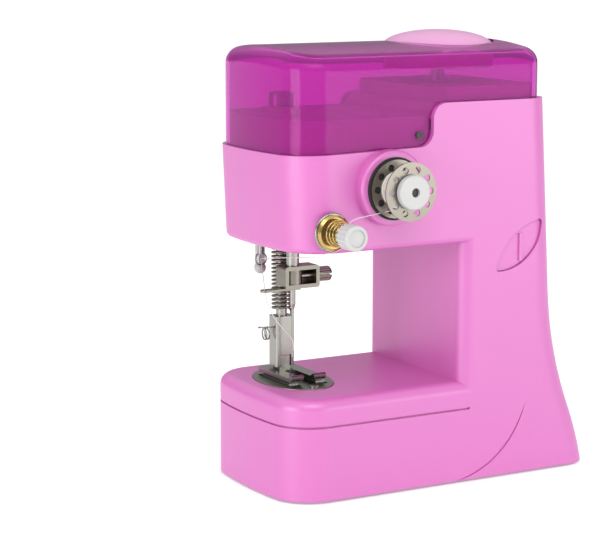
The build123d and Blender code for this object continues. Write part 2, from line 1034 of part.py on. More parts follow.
with BuildPart() as rubber_feet:
    for spot_x, spot_y in pad_spots:
        add(ring_z(spot_x, spot_y, 0, pad_radius - run_gap, 0, base_z + pad_sink))
rubber_feet.part.label = "rubber_feet"
export_step(rubber_feet.part, "parts/rubber_feet.step")

with BuildPart() as battery_cells:
    for row in range(cell_count):
        row_y = mid_y + (row + 0.5) * cell_pitch - bay_half
        can_x = bay_left + contact_thick + (cell_nub if row % 2 else 0)
        can_length = cell_length - cell_nub
        nub_x = can_x - cell_nub if row % 2 else can_x + can_length
        add(ring_x(can_x, row_y, cell_z, cell_radius, 0, can_length))
        add(ring_x(nub_x, row_y, cell_z, cell_nub_radius, 0, cell_nub))
battery_cells.part.label = "battery_cells"
export_step(battery_cells.part, "parts/battery_cells.step")

with BuildPart() as battery_contacts:
    for row in range(cell_count):
        row_y = mid_y + (row + 0.5) * cell_pitch - bay_half
        for contact_x in (bay_left, bay_right - contact_thick):
            add(
                block(
                    contact_x,
                    contact_x + contact_thick,
                    row_y - contact_half,
                    row_y + contact_half,
                    cell_z - contact_half,
                    bay_roof,
                )
            )
battery_contacts.part.label = "battery_contacts"
export_step(battery_contacts.part, "parts/battery_contacts.step")

with BuildPart() as battery_door:
    door_left = bay_left - door_lip + door_gap
    door_right = bay_right + door_lip - door_gap
    door_half = bay_half + door_lip - door_gap
    add(block(door_left, door_right, mid_y - door_half, mid_y + door_half, base_z, base_z + door_thick))
    for line in range(grip_lines):
        grip_x = door_right - grip_inset - grip_pitch * line
        add(
            block(
                grip_x,
                grip_x + grip_width,
                mid_y - grip_half,
                mid_y + grip_half,
                base_z,
                base_z + door_thick / 3,
            ),
            mode=Mode.SUBTRACT,
        )
battery_door.part.label = "battery_door"
export_step(battery_door.part, "parts/battery_door.step")


# Needle plate, its screws and the feed dog

with BuildPart() as needle_plate:
    with BuildSketch(Plane.XY.offset(plate_z)):
        with Locations((needle_x, needle_y)):
            Ellipse(plate_half_width, plate_half_length)
            with Locations((feed_pitch, 0), (-feed_pitch, 0)):
                Rectangle(
                    feed_width + 2 * feed_slot_gap,
                    feed_length + 2 * (feed_travel + feed_slot_gap),
                    mode=Mode.SUBTRACT,
                )
            Circle(needle_hole, mode=Mode.SUBTRACT)
            with Locations((0, plate_screw_y), (0, -plate_screw_y)):
                Circle(plate_screw_radius + run_gap, mode=Mode.SUBTRACT)
    extrude(amount=plate_thick)
    fillet(needle_plate.faces().sort_by(Axis.Z)[-1].outer_wire().edges(), plate_proud * 0.8)
needle_plate.part.label = "needle_plate"
export_step(needle_plate.part, "parts/needle_plate.step")

with BuildPart() as plate_screws:
    for side in (-1, 1):
        spot_y = needle_y + side * plate_screw_y
        cap_z = plate_z + plate_thick
        add(ring_z(needle_x, spot_y, bed_roof, plate_screw_radius, 0, cap_z - bed_roof))
        add(ring_z(needle_x, spot_y, cap_z, plate_screw_head, 0, plate_screw_cap))
        add(
            block(
                needle_x - 0.8 * plate_screw_head,
                needle_x + 0.8 * plate_screw_head,
                spot_y - 0.15 * plate_screw_head,
                spot_y + 0.15 * plate_screw_head,
                cap_z + plate_screw_cap / 2,
                cap_z + plate_screw_cap,
            ),
            mode=Mode.SUBTRACT,
        )
plate_screws.part.label = "plate_screws"
export_step(plate_screws.part, "parts/plate_screws.step")

feed_low = bed_roof - feed_drop - feed_base
feed_top = bed_top + plate_proud + feed_rise
feed_bar_y = needle_y + feed_arm_back
bed_bearing_x = needle_x + bed_bearing_offset
with BuildPart() as feed_dog:
    reach = feed_pitch + feed_width / 2
    add(
        block(
            needle_x - reach,
            needle_x + reach,
            needle_y - feed_length / 2,
            needle_y + feed_length / 2,
            feed_low,
            feed_low + feed_base,
        )
    )
    add(
        block(
            needle_x,
            bed_bearing_x + bearing_thick + 3,
            feed_bar_y - feed_arm / 2,
            feed_bar_y + feed_arm / 2,
            feed_low,
            feed_low + feed_base,
        )
    )
    add(ring_z(needle_x, needle_y, feed_low, feed_hole, 0, feed_base), mode=Mode.SUBTRACT)
    tooth = feed_length / feed_teeth
    with BuildSketch(Plane.YZ.offset(needle_x - reach)):
        with BuildLine():
            start = needle_y - feed_length / 2
            saw = [(start, feed_low), (start, feed_top - tooth_depth)]
            for count in range(feed_teeth):
                saw.append((start + (count + 0.3) * tooth, feed_top))
                saw.append((start + (count + 1) * tooth, feed_top - tooth_depth))
            saw.append((start + feed_length, feed_low))
            Polyline(*saw, close=True)
        make_face()
    extrude(amount=feed_width)
    with BuildSketch(Plane.YZ.offset(needle_x + reach - feed_width)):
        with BuildLine():
            Polyline(*saw, close=True)
        make_face()
    extrude(amount=feed_width)
feed_dog.part.label = "feed_dog"
export_step(feed_dog.part, "parts/feed_dog.step")


# Bearings: walls across the arm and the bed, shelves across the column, and their bushes


def bearing_wall(wall_x, low, top, axis_z, radius):
    """Wall across the machine with a hole for a bush."""
    with BuildPart() as form:
        add(block(wall_x, wall_x + bearing_thick, inner_front, inner_rear, low, top))
        add(
            ring_x(wall_x, shaft_y, axis_z, radius + run_gap + bush_wall, 0, bearing_thick),
            mode=Mode.SUBTRACT,
        )
    return form.part


yoke_x = needle_x + presser_bar_radius + yoke_clear
pin_end_x = yoke_x + yoke_thick + link_gap
disc_x = pin_end_x + pin_reach
arm_bearing_left_x = disc_x + crank_disc_thick + disc_clear
arm_bearing_right_x = column_in - arm_bearing_back
bed_bearing_right_x = column_in - bed_bearing_back
mitre_radius = mitre_module * mitre_teeth / 2
low_mitre_radius = mitre_module * low_mitre_teeth / 2
shelf_left = column_in + throat_edge + shelf_clear
shelf_right = column_right - column_corner
gear_distance = spur_module * (drive_teeth + pinion_teeth) / 2
motor_x = shaft_x + gear_distance * cos(radians(motor_angle))
motor_y = shaft_y + gear_distance * sin(radians(motor_angle))
motor_top = gear_z - cap_rise
motor_base = motor_top - motor_length
top_bearing_z = gear_z + gear_width + bearing_clear
low_bearing_z = bed_top + bearing_clear

with BuildPart() as arm_bearings:
    for wall_x in (arm_bearing_left_x, arm_bearing_right_x):
        add(bearing_wall(wall_x, arm_floor, arm_z + bearing_rise, arm_z, arm_shaft_radius))
arm_bearings.part.label = "arm_bearings"
export_step(arm_bearings.part, "parts/arm_bearings.step")

with BuildPart() as bed_bearings:
    for wall_x in (bed_bearing_x, bed_bearing_right_x):
        add(bearing_wall(wall_x, bay_roof + bay_wall, bed_roof, low_z, arm_shaft_radius))
    add(
        block(
            bed_bearing_x,
            bed_bearing_x + bearing_thick,
            feed_bar_y - feed_arm / 2 - feed_travel - part_gap,
            feed_bar_y + feed_arm / 2 + feed_travel + part_gap,
            feed_low - part_gap,
            feed_low + feed_base + part_gap,
        ),
        mode=Mode.SUBTRACT,
    )
bed_bearings.part.label = "bed_bearings"
export_step(bed_bearings.part, "parts/bed_bearings.step")


def shelf(low, thick):
    """Shelf across the column with a hole for a bush round the upright shaft."""
    with BuildPart() as form:
        add(block(shelf_left, shelf_right, inner_front, inner_rear, low, low + thick))
        add(
            ring_z(shaft_x, shaft_y, low, shaft_radius + run_gap + bush_wall, 0, thick),
            mode=Mode.SUBTRACT,
        )
    return form.part


button_back = front_y + button_sink + button_thick
with BuildPart() as column_shelves:
    for low in (low_bearing_z, motor_base - bearing_thick, top_bearing_z):
        add(shelf(low, bearing_thick))
    add(
        block(
            button_x - button_length / 2,
            shelf_right,
            inner_front,
            button_back + button_travel + part_gap,
            motor_base - bearing_thick,
            motor_base,
        ),
        mode=Mode.SUBTRACT,
    )
column_shelves.part.label = "column_shelves"
export_step(column_shelves.part, "parts/column_shelves.step")

with BuildPart() as shaft_bushes:
    low_bore = arm_shaft_radius + run_gap
    for wall_x in (arm_bearing_left_x, arm_bearing_right_x):
        add(ring_x(wall_x, shaft_y, arm_z, low_bore + bush_wall, low_bore, bearing_thick))
    for wall_x in (bed_bearing_x, bed_bearing_right_x):
        add(ring_x(wall_x, shaft_y, low_z, low_bore + bush_wall, low_bore, bearing_thick))
    tall_bore = shaft_radius + run_gap
    for low in (low_bearing_z, motor_base - bearing_thick, top_bearing_z):
        add(ring_z(shaft_x, shaft_y, low, tall_bore + bush_wall, tall_bore, bearing_thick))
shaft_bushes.part.label = "shaft_bushes"
export_step(shaft_bushes.part, "parts/shaft_bushes.step")

bar_guide_z = arm_z + crank_radius + yoke_half_height + part_gap
with BuildPart() as bar_guide:
    add(
        block(
            needle_x - guide_half,
            needle_x + guide_half,
            inner_front,
            inner_rear,
            bar_guide_z,
            bar_guide_z + bearing_thick,
        )
    )
    add(head_form(wall + run_gap), mode=Mode.INTERSECT)
    add(
        ring_z(needle_x, needle_y, bar_guide_z, needle_bar_radius + run_gap, 0, bearing_thick),
        mode=Mode.SUBTRACT,
    )
    add(
        ring_z(needle_x, press_y, bar_guide_z, presser_bar_radius + run_gap, 0, bearing_thick),
        mode=Mode.SUBTRACT,
    )
bar_guide.part.label = "bar_guide"
export_step(bar_guide.part, "parts/bar_guide.step")

with BuildPart() as bar_bushes:
    for bar_y, bore, seat in (
        (needle_y, needle_bar_radius + run_gap, needle_bush),
        (press_y, presser_bar_radius + run_gap, press_bush),
    ):
        add(ring_z(needle_x, bar_y, arm_bottom, seat, bore, wall + bush_proud))
        add(ring_z(needle_x, bar_y, arm_bottom - bush_flange, seat + bush_rim, bore, bush_flange))
bar_bushes.part.label = "bar_bushes"
export_step(bar_bushes.part, "parts/bar_bushes.step")

with BuildPart() as deck_ring:
    bore = presser_bar_radius + run_gap
    add(ring_z(needle_x, press_y, deck_low, deck_ring_radius, bore, deck_ring_height))
    add(ring_z(needle_x, press_y, deck_low - wall, press_bush, bore, wall))
    fillet(deck_ring.faces().sort_by(Axis.Z)[-1].outer_wire().edges(), deck_ring_height / 3)
deck_ring.part.label = "deck_ring"
export_step(deck_ring.part, "parts/deck_ring.step")


# Upright drive: shaft, hand wheel, gears

with BuildPart() as main_shaft:
    add(
        ring_z(
            shaft_x,
            shaft_y,
            low_z + low_mitre_radius - low_mitre_face,
            shaft_radius,
            0,
            wheel_base + wheel_skirt - low_z - low_mitre_radius + low_mitre_face,
        )
    )
main_shaft.part.label = "main_shaft"
export_step(main_shaft.part, "parts/main_shaft.step")

with BuildPart() as hand_wheel:
    with BuildSketch(Plane((shaft_x, shaft_y, wheel_base), x_dir=(1, 0, 0), z_dir=(0, -1, 0))):
        with BuildLine():
            crest = wheel_skirt + wheel_dome
            Polyline((0, crest), (0, 0), (wheel_radius, 0), (wheel_radius, wheel_skirt))
            Bezier(
                (wheel_radius, wheel_skirt),
                (wheel_radius, wheel_skirt + round_share * wheel_dome),
                (round_share * wheel_radius, crest),
                (0, crest),
            )
        make_face()
        with Locations(((wheel_hub + wheel_radius - wheel_wall) / 2, (wheel_skirt - wheel_wall) / 2)):
            Rectangle(wheel_radius - wheel_wall - wheel_hub, wheel_skirt - wheel_wall, mode=Mode.SUBTRACT)
    revolve(axis=Axis((shaft_x, shaft_y, 0), (0, 0, 1)))
    add(
        ring_z(shaft_x, shaft_y, wheel_base, shaft_radius + run_gap, 0, wheel_skirt),
        mode=Mode.SUBTRACT,
    )
hand_wheel.part.label = "hand_wheel"
export_step(hand_wheel.part, "parts/hand_wheel.step")

with BuildPart() as drive_gear:
    gear_plane = Plane((shaft_x, shaft_y, gear_z))
    add(spur_gear(gear_plane, drive_teeth, gear_width, shaft_radius + run_gap, motor_angle))
    with BuildSketch(gear_plane):
        with PolarLocations(web_radius, web_holes):
            Circle(web_hole_radius)
    extrude(amount=gear_width, mode=Mode.SUBTRACT)
drive_gear.part.label = "drive_gear"
export_step(drive_gear.part, "parts/drive_gear.step")

with BuildPart() as upper_mitre:
    add(
        mitre_gear(
            Plane((shaft_x, shaft_y, arm_z - mitre_radius)),
            mitre_teeth,
            mitre_face,
            shaft_radius + run_gap,
            0,
        )
    )
upper_mitre.part.label = "upper_mitre"
export_step(upper_mitre.part, "parts/upper_mitre.step")

with BuildPart() as lower_mitre:
    add(
        mitre_gear(
            Plane((shaft_x, shaft_y, low_z + low_mitre_radius), x_dir=(1, 0, 0), z_dir=(0, 0, -1)),
            low_mitre_teeth,
            low_mitre_face,
            shaft_radius + run_gap,
            0,
        )
    )
lower_mitre.part.label = "lower_mitre"
export_step(lower_mitre.part, "parts/lower_mitre.step")


# Arm shaft with its bevel wheel and crank

with BuildPart() as arm_shaft:
    arm_end = shaft_x - mitre_radius + mitre_face
    add(ring_x(disc_x, shaft_y, arm_z, arm_shaft_radius, 0, arm_end - disc_x))
arm_shaft.part.label = "arm_shaft"
export_step(arm_shaft.part, "parts/arm_shaft.step")

with BuildPart() as arm_mitre:
    add(
        mitre_gear(
            Plane((shaft_x - mitre_radius, shaft_y, arm_z), x_dir=(0, 1, 0), z_dir=(1, 0, 0)),
            mitre_teeth,
            mitre_face,
            arm_shaft_radius + run_gap,
            180 / mitre_teeth,
        )
    )
arm_mitre.part.label = "arm_mitre"
export_step(arm_mitre.part, "parts/arm_mitre.step")

crank_rise = crank_radius - stroke_up
crank_side = sqrt(crank_radius**2 - crank_rise**2)
with BuildPart() as crank_disc:
    add(
        ring_x(
            disc_x, shaft_y, arm_z, crank_disc_radius, arm_shaft_radius + run_gap, crank_disc_thick
        )
    )
    add(ring_x(pin_end_x, shaft_y - crank_side, arm_z + crank_rise, crank_pin_radius, 0, disc_x - pin_end_x))
crank_disc.part.label = "crank_disc"
export_step(crank_disc.part, "parts/crank_disc.step")


# Lower shaft with its bevel wheel and looper

looper_x = needle_x + looper_offset
with BuildPart() as low_shaft:
    low_end = shaft_x - low_mitre_radius + low_mitre_face
    add(ring_x(looper_x, shaft_y, low_z, arm_shaft_radius, 0, low_end - looper_x))
low_shaft.part.label = "low_shaft"
export_step(low_shaft.part, "parts/low_shaft.step")

with BuildPart() as low_shaft_mitre:
    add(
        mitre_gear(
            Plane((shaft_x - low_mitre_radius, shaft_y, low_z), x_dir=(0, 1, 0), z_dir=(1, 0, 0)),
            low_mitre_teeth,
            low_mitre_face,
            arm_shaft_radius + run_gap,
            180 / low_mitre_teeth,
        )
    )
low_shaft_mitre.part.label = "low_shaft_mitre"
export_step(low_shaft_mitre.part, "parts/low_shaft_mitre.step")

with BuildPart() as looper:
    finger_x = needle_x + needle_clear
    finger_z = low_z - looper_radius + 1.5 * looper_finger
    add(ring_x(looper_x, shaft_y, low_z, looper_radius, arm_shaft_radius + run_gap, looper_thick))
    add(ring_x(finger_x, shaft_y, finger_z, looper_finger, 0, looper_x - finger_x))
looper.part.label = "looper"
export_step(looper.part, "parts/looper.step")


# Motor and its pinion

with BuildPart() as motor:
    add(ring_z(motor_x, motor_y, motor_base, motor_radius, 0, motor_length))
    fillet(motor.faces().sort_by(Axis.Z)[-1].edges(), motor_edge)
    add(ring_z(motor_x, motor_y, motor_top, motor_cap_radius, 0, motor_cap))
    shaft_low = motor_top - motor_shaft_sink
    add(
        ring_z(
            motor_x,
            motor_y,
            shaft_low - part_gap,
            motor_shaft_radius + run_gap,
            0,
            motor_shaft_sink + part_gap + motor_cap,
        ),
        mode=Mode.SUBTRACT,
    )
motor.part.label = "motor"
export_step(motor.part, "parts/motor.step")

with BuildPart() as motor_pinion:
    pinion_plane = Plane((motor_x, motor_y, gear_z - 1))
    turn = motor_angle + 180 + 180 / pinion_teeth
    add(spur_gear(pinion_plane, pinion_teeth, pinion_width, motor_shaft_radius / 2, turn))
    add(ring_z(motor_x, motor_y, shaft_low, motor_shaft_radius, 0, gear_z + pinion_width - shaft_low))
motor_pinion.part.label = "motor_pinion"
export_step(motor_pinion.part, "parts/motor_pinion.step")


# Needle bar with its yoke, clamp, thread guide and needle

clamp_z = bed_top + needle_bar_low
with BuildPart() as needle_bar:
    add(ring_z(needle_x, needle_y, clamp_z, needle_bar_radius, 0, needle_bar_length))
    chamfer(needle_bar.faces().sort_by(Axis.Z)[-1].edges(), needle_bar_radius / 6)
    add(ring_z(needle_x, needle_y, clamp_z, shank_radius + run_gap, 0, clamp_height), mode=Mode.SUBTRACT)
needle_bar.part.label = "needle_bar"
export_step(needle_bar.part, "parts/needle_bar.step")

with BuildPart() as needle:
    with BuildSketch(Plane((needle_x, needle_y, clamp_z), x_dir=(1, 0, 0), z_dir=(0, -1, 0))):
        with BuildLine():
            Polyline(
                (0, clamp_height - part_gap),
                (shank_radius, clamp_height - part_gap),
                (shank_radius, -shank_drop),
                (needle_radius, -shank_drop - shank_taper),
                (needle_radius, needle_point - needle_reach),
                (0.2 * needle_radius, -needle_reach),
                (0, -needle_reach),
                close=True,
            )
        make_face()
    revolve(axis=Axis((needle_x, needle_y, 0), (0, 0, 1)))
    add(
        ring_y(
            needle_x,
            needle_y - needle_radius,
            clamp_z - needle_reach + needle_eye_rise,
            0.45 * needle_radius,
            0,
            2 * needle_radius,
        ),
        mode=Mode.SUBTRACT,
    )
needle.part.label = "needle"
export_step(needle.part, "parts/needle.step")

yoke_z = arm_z + crank_rise
yoke_half_width = crank_radius + crank_pin_radius + yoke_rim
with BuildPart() as needle_yoke:
    add(
        ring_z(needle_x, needle_y, yoke_z - yoke_half_height, yoke_hub_radius, 0, 2 * yoke_half_height)
    )
    add(
        block(
            yoke_x,
            yoke_x + yoke_thick,
            needle_y - yoke_half_width,
            needle_y + yoke_half_width,
            yoke_z - yoke_half_height,
            yoke_z + yoke_half_height,
        )
    )
    with BuildSketch(Plane((yoke_x, needle_y, yoke_z), x_dir=(0, 1, 0), z_dir=(1, 0, 0))):
        SlotCenterToCenter(2 * crank_radius, 2 * crank_pin_radius + 2 * run_gap)
    extrude(amount=yoke_thick, mode=Mode.SUBTRACT)
    add(
        ring_z(
            needle_x,
            needle_y,
            yoke_z - yoke_half_height,
            needle_bar_radius + run_gap,
            0,
            2 * yoke_half_height,
        ),
        mode=Mode.SUBTRACT,
    )
needle_yoke.part.label = "needle_yoke"
export_step(needle_yoke.part, "parts/needle_yoke.step")

clamp_left = needle_x + clamp_offset - clamp_length / 2
clamp_right = clamp_left + clamp_length
clamp_front = needle_y - clamp_depth / 2
screw_z = clamp_z + clamp_height / 2
with BuildPart() as needle_clamp:
    add(
        block(
            clamp_left,
            clamp_right,
            clamp_front,
            clamp_front + clamp_depth,
            clamp_z,
            clamp_z + clamp_height,
        )
    )
    fillet(needle_clamp.edges().filter_by(Axis.Y), clamp_round)
    add(
        block(
            clamp_left + clamp_wall,
            clamp_right - clamp_wall,
            clamp_front,
            clamp_front + clamp_depth - clamp_wall,
            clamp_z + clamp_wall,
            clamp_z + clamp_height - clamp_wall,
        ),
        mode=Mode.SUBTRACT,
    )
    add(ring_z(needle_x, needle_y, clamp_z, needle_bar_radius + clamp_hub_wall, 0, clamp_height))
    add(
        ring_z(needle_x, needle_y, clamp_z, needle_bar_radius + run_gap, 0, clamp_height),
        mode=Mode.SUBTRACT,
    )
    add(
        ring_x(needle_x, needle_y, screw_z, clamp_rod_radius + run_gap, 0, clamp_length),
        mode=Mode.SUBTRACT,
    )
    # Thread guide under the clamp, a strip with an eye at its end
    guide_eye_x = needle_x - guide_reach + guide_width / 2
    strip_end = needle_x + needle_bar_radius
    with BuildSketch(Plane.XY.offset(clamp_z - guide_thick)):
        with Locations((guide_eye_x, needle_y)):
            Circle(guide_width / 2)
        with Locations(((guide_eye_x + strip_end) / 2, needle_y)):
            Rectangle(strip_end - guide_eye_x, guide_width)
        with Locations((guide_eye_x, needle_y)):
            Circle(guide_width / 4, mode=Mode.SUBTRACT)
        with Locations((needle_x, needle_y)):
            Circle(shank_radius + run_gap, mode=Mode.SUBTRACT)
    extrude(amount=guide_thick)
needle_clamp.part.label = "needle_clamp"
export_step(needle_clamp.part, "parts/needle_clamp.step")

with BuildPart() as clamp_screw:
    rod_x = needle_x + needle_bar_radius + run_gap
    knurl_x = clamp_right + part_gap
    add(ring_x(rod_x, needle_y, screw_z, clamp_rod_radius, 0, knurl_x - rod_x))
    add(ring_x(knurl_x, needle_y, screw_z, clamp_screw_radius, 0, clamp_screw_length))
    chamfer(clamp_screw.faces().sort_by(Axis.X)[-1].edges(), 0.6 * knurl_rim)
    with BuildSketch(Plane((knurl_x, needle_y, screw_z), x_dir=(0, 1, 0), z_dir=(1, 0, 0))):
        with PolarLocations(clamp_screw_radius + knurl_radius / 3, knurl_lines):
            Circle(knurl_radius)
    extrude(amount=clamp_screw_length - knurl_rim, mode=Mode.SUBTRACT)
    add(
        block(
            knurl_x + clamp_screw_length - screw_slot_depth,
            knurl_x + clamp_screw_length,
            needle_y - clamp_screw_radius,
            needle_y + clamp_screw_radius,
            screw_z - screw_slot / 2,
            screw_z + screw_slot / 2,
        ),
        mode=Mode.SUBTRACT,
    )
clamp_screw.part.label = "clamp_screw"
export_step(clamp_screw.part, "parts/clamp_screw.step")


# Presser bar with its spring, holder, foot, lift bracket and lifter

foot_z = bed_top + foot_clear
holder_low = foot_z + foot_thick + foot_swing
holder_top = holder_low + holder_height
foot_pin_z = foot_z + foot_boss_height - 2 * foot_pin_radius
post_z = deck_low + deck_ring_height + part_gap
bracket_z = lifter_z - lobe_reach * sin(lobe_swing) + lobe_radius + part_gap
spring_top = arm_bottom - bush_flange

with BuildPart() as presser_bar:
    bar_low = holder_top - holder_bore
    add(ring_z(needle_x, press_y, bar_low, presser_bar_radius, 0, post_z - bar_low))
    add(ring_z(needle_x, press_y, post_z, post_radius, 0, post_height))
    fillet(presser_bar.faces().sort_by(Axis.Z)[-1].edges(), post_radius / 5)
presser_bar.part.label = "presser_bar"
export_step(presser_bar.part, "parts/presser_bar.step")

with BuildPart() as lift_bracket:
    arm_left = lifter_x + lobe_reach * cos(lobe_swing) - 0.6 * lobe_radius
    add(ring_z(needle_x, press_y, bracket_z, presser_bar_radius + bracket_wall, 0, bracket_height))
    add(
        block(
            arm_left,
            arm_left + 2.4 * lobe_radius,
            press_y,
            lifter_y + lifter_thick,
            bracket_z,
            bracket_z + bracket_height,
        )
    )
    add(
        ring_z(needle_x, press_y, bracket_z, presser_bar_radius + run_gap, 0, bracket_height),
        mode=Mode.SUBTRACT,
    )
lift_bracket.part.label = "lift_bracket"
export_step(lift_bracket.part, "parts/lift_bracket.step")

spring_length = spring_top - holder_top
spring_turns = round((spring_length - 5 * spring_wire) / spring_pitch)
with BuildPart() as presser_spring:
    add(
        coil(
            "presser_spring",
            Plane((needle_x, press_y, holder_top)),
            spring_radius,
            spring_radius,
            spring_length,
            spring_turns,
            spring_wire,
        )
    )
presser_spring.part.label = "presser_spring"
export_step(presser_spring.part, "parts/presser_spring.step")

with BuildPart() as foot_holder:
    add(
        block(
            needle_x - holder_width / 2,
            needle_x + holder_width / 2,
            press_y - holder_depth / 2,
            press_y + holder_depth / 2,
            holder_low,
            holder_top,
        )
    )
    fillet(foot_holder.edges().filter_by(Axis.Z), holder_round)
    add(
        block(
            needle_x - foot_boss_width / 2 - foot_side_gap,
            needle_x + foot_boss_width / 2 + foot_side_gap,
            press_y - holder_depth,
            press_y + holder_depth,
            holder_low,
            foot_z + foot_boss_height + part_gap,
        ),
        mode=Mode.SUBTRACT,
    )
    add(
        ring_z(needle_x, press_y, holder_top - holder_bore, presser_bar_radius + run_gap, 0, holder_bore),
        mode=Mode.SUBTRACT,
    )
    add(ring_x(needle_x - holder_width / 2, press_y, foot_pin_z, foot_pin_radius, 0, holder_width))
foot_holder.part.label = "foot_holder"
export_step(foot_holder.part, "parts/foot_holder.step")

with BuildPart() as presser_foot:
    toe_y = needle_y - foot_front
    heel_y = needle_y + foot_rear
    with BuildSketch(Plane.YZ.offset(needle_x - foot_width / 2)):
        with BuildLine():
            sole = Line((heel_y, foot_z), (toe_y + foot_curl, foot_z))
            nose = RadiusArc(sole @ 1, (toe_y, foot_z + foot_curl), foot_curl)
            tip = Line(nose @ 1, (toe_y + 0.6 * foot_thick, foot_z + foot_curl + 0.35 * foot_thick))
            neck = Line(tip @ 1, (toe_y + foot_curl + 0.6 * foot_thick, foot_z + foot_thick))
            Polyline(neck @ 1, (heel_y, foot_z + foot_thick), sole @ 0)
        make_face()
    extrude(amount=foot_width)
    fillet(presser_foot.edges().filter_by(Axis.Z), foot_corner)
    add(
        block(
            needle_x - foot_boss_width / 2,
            needle_x + foot_boss_width / 2,
            press_y - foot_boss_length / 2,
            press_y + foot_boss_length / 2,
            foot_z,
            foot_z + foot_boss_height,
        )
    )
    with BuildSketch(Plane.XY.offset(foot_z - foot_thick)):
        with Locations((needle_x, toe_y)):
            SlotCenterToCenter(2 * foot_front + foot_slot / 2, foot_slot, rotation=90)
    extrude(amount=foot_boss_height, mode=Mode.SUBTRACT)
    add(
        ring_x(needle_x - foot_width, press_y, foot_pin_z, foot_pin_radius + run_gap, 0, 2 * foot_width),
        mode=Mode.SUBTRACT,
    )
presser_foot.part.label = "presser_foot"
export_step(presser_foot.part, "parts/presser_foot.step")

with BuildPart() as foot_hook:
    hook_plane = Plane(
        (needle_x - holder_width / 2, press_y, holder_top - holder_height / 3),
        x_dir=(0, 0, 1),
        z_dir=(-1, 0, 0),
    )
    add(coil("foot_hook", hook_plane, hook_radius, hook_radius, hook_length, hook_turns, hook_wire))
foot_hook.part.label = "foot_hook"
export_step(foot_hook.part, "parts/foot_hook.step")

with BuildPart() as presser_lifter:
    lobe = (lobe_reach * cos(lobe_swing), -lobe_reach * sin(lobe_swing))
    swing_plane = Plane(
        (lifter_x, lifter_y + lifter_thick, lifter_z), x_dir=(1, 0, 0), z_dir=(0, -1, 0)
    )
    with BuildSketch(swing_plane):
        Circle(lifter_hub)
        with Locations(lobe):
            Circle(lobe_radius)
        with Locations((lobe[0] / 2, lobe[1] / 2)):
            Rectangle(lobe_reach, 1.2 * lobe_radius, rotation=-lifter_turn / 2)
        with Locations((0, -lifter_drop / 2)):
            Rectangle(lifter_arm, lifter_drop)
        Circle(lifter_pin_radius + run_gap, mode=Mode.SUBTRACT)
    extrude(amount=lifter_thick)
    with Locations((lifter_x, lifter_y + lifter_thick / 2, lifter_z - lifter_drop)):
        Sphere(ball_radius)
presser_lifter.part.label = "presser_lifter"
export_step(presser_lifter.part, "parts/presser_lifter.step")

with BuildPart() as lifter_pin:
    pin_y = lifter_y - part_gap - lifter_pin_head
    add(ring_y(lifter_x, pin_y, lifter_z, lifter_hub, 0, lifter_pin_head))
    add(ring_y(lifter_x, pin_y, lifter_z, lifter_pin_radius, 0, inner_rear + wall / 2 - pin_y))
lifter_pin.part.label = "lifter_pin"
export_step(lifter_pin.part, "parts/lifter_pin.step")

with BuildPart() as thread_eye:
    eye_low = arm_bottom - eye_pin_length
    add(ring_z(eye_x, eye_y, eye_low, eye_pin_radius, 0, eye_pin_length + wall))
    ring_spot = Location((eye_x, eye_y, eye_low - eye_radius + eye_wire / 2), (90, 0, 0))
    with Locations(ring_spot):
        Torus(eye_radius, eye_wire / 2)
thread_eye.part.label = "thread_eye"
export_step(thread_eye.part, "parts/thread_eye.step")


# Bobbin, its thread, spindle, felt ring and cap

bobbin_back = felt_y - felt_thick - part_gap / 2
bobbin_front = bobbin_back - bobbin_width
cap_back = bobbin_front - part_gap
with BuildPart() as bobbin_spindle:
    spindle_front = cap_back - cap_depth
    collar = spindle_radius + spindle_collar
    add(ring_y(bobbin_x, inner_front, bobbin_z, collar, 0, spindle_collar_thick))
    add(ring_y(bobbin_x, spindle_front, bobbin_z, spindle_radius, 0, inner_front - spindle_front))
bobbin_spindle.part.label = "bobbin_spindle"
export_step(bobbin_spindle.part, "parts/bobbin_spindle.step")

with BuildPart() as felt_ring:
    add(
        ring_y(bobbin_x, felt_y - felt_thick, bobbin_z, felt_radius, spindle_radius + run_gap, felt_thick)
    )
felt_ring.part.label = "felt_ring"
export_step(felt_ring.part, "parts/felt_ring.step")

with BuildPart() as bobbin:
    add(ring_y(bobbin_x, bobbin_front, bobbin_z, bobbin_hub, 0, bobbin_width))
    for flange_y in (bobbin_front, bobbin_back - bobbin_flange):
        add(ring_y(bobbin_x, flange_y, bobbin_z, bobbin_radius, 0, bobbin_flange))
    with BuildSketch(Plane.XZ.offset(-bobbin_back)):
        with Locations((bobbin_x, bobbin_z)):
            Circle(bobbin_bore)
            with PolarLocations(bobbin_hole_ring, bobbin_holes):
                Circle(bobbin_hole_radius)
    extrude(amount=bobbin_width, mode=Mode.SUBTRACT)
bobbin.part.label = "bobbin"
export_step(bobbin.part, "parts/bobbin.step")

with BuildPart() as bobbin_thread:
    pack_radius = thread_radius - thread_wire / 2 - run_gap
    pack_front = bobbin_front + bobbin_flange
    pack_length = bobbin_width - 2 * bobbin_flange
    winding_turns = round((pack_length - 5 * thread_wire) / thread_pitch)
    add(ring_y(bobbin_x, pack_front, bobbin_z, pack_radius, bobbin_hub, pack_length))
    add(
        coil(
            "bobbin_thread",
            Plane((bobbin_x, pack_front, bobbin_z), x_dir=(1, 0, 0), z_dir=(0, 1, 0)),
            thread_radius,
            thread_radius,
            pack_length,
            winding_turns,
            thread_wire,
        )
    )
bobbin_thread.part.label = "bobbin_thread"
export_step(bobbin_thread.part, "parts/bobbin_thread.step")

